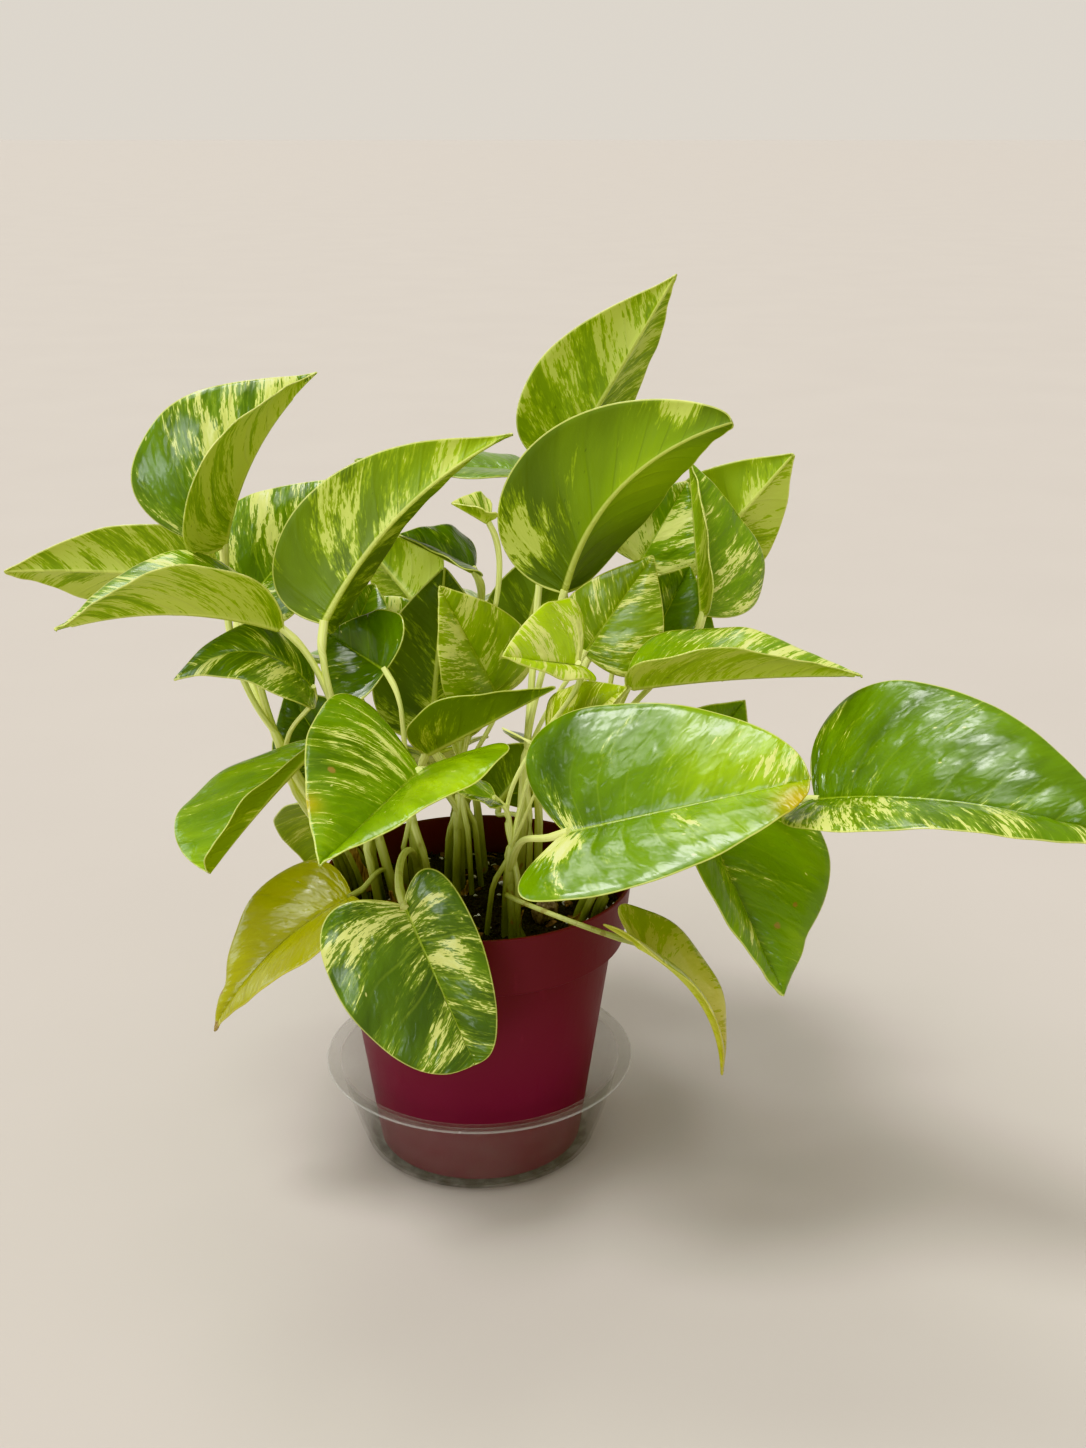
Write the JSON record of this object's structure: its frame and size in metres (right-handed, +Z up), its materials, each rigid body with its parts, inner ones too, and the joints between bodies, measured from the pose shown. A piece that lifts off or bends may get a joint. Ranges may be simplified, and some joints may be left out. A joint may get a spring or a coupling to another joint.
{
  "type": "potted pothos plant",
  "caption": "Variegated trailing houseplant with heart-shaped marbled leaves in a round nursery pot on a clear saucer.",
  "frame": {"origin": "on the pot's axis, at the saucer's flat underside", "axes": "+Z up along the pot's axis, -Y towards the viewer of the picture, +X to the viewer's right"},
  "size_m": [0.4272, 0.2714, 0.3672],
  "materials": {
    "pot": "satin",
    "saucer": "gloss",
    "soil": "matte",
    "stem": "satin",
    "leaf_green": "satin",
    "leaf_marbled": "satin",
    "leaf_olive": "matte",
    "leaf_yellowed": "matte"
  },
  "bodies": {
    "root": {"pot": "pot", "saucer": "saucer", "soil": "soil", "stem_a": "stem", "stem_b": "stem", "stem_c": "stem", "stem_d": "stem", "stem_e": "stem", "stem_f": "stem", "stem_g": "stem", "stem_h": "stem", "stem_i": "stem", "leaf_left_high": "leaf_marbled", "leaf_far_left": "leaf_olive", "leaf_left_arching": "leaf_marbled", "leaf_left_low": "leaf_marbled", "leaf_left_tall": "leaf_olive", "leaf_left_behind": "leaf_green", "leaf_left_glossy": "leaf_marbled", "leaf_front_left": "leaf_green", "leaf_left_lower": "leaf_green", "leaf_left_yellowed": "leaf_yellowed", "leaf_front_heart": "leaf_marbled", "leaf_front_big": "leaf_green", "leaf_right_big": "leaf_green", "leaf_right_drooping": "leaf_green", "leaf_right_curled": "leaf_yellowed", "leaf_top": "leaf_olive", "leaf_top_big": "leaf_olive", "leaf_back_level": "leaf_green", "leaf_baby": "leaf_marbled", "leaf_mid_right": "leaf_marbled", "leaf_centre_bright": "leaf_marbled", "leaf_centre_yellow": "leaf_yellowed", "leaf_centre_pale": "leaf_marbled", "leaf_centre_tall": "leaf_olive", "leaf_small_upright": "leaf_marbled", "leaf_centre_glossy": "leaf_green", "leaf_back_pale": "leaf_olive", "leaf_back_low_pale": "leaf_olive", "leaf_back_shaded": "leaf_olive", "leaf_right_pointed": "leaf_marbled", "leaf_far_right_high": "leaf_green", "leaf_right_marbled": "leaf_marbled", "leaf_right_shaded": "leaf_green", "leaf_right_arching": "leaf_green", "leaf_right_tucked": "leaf_green", "leaf_centre_folded": "leaf_olive", "leaf_centre_level": "leaf_green", "leaf_centre_dark": "leaf_green", "leaf_left_shaded": "leaf_green", "leaf_rear_left_high": "leaf_green", "leaf_rear_high": "leaf_marbled", "leaf_rear_right_high": "leaf_green", "leaf_rear_left_low": "leaf_marbled", "leaf_rear_right_low": "leaf_green", "leaf_rear_right_side": "leaf_green", "leaf_rear_left_side": "leaf_green"}
  },
  "joints": []
}
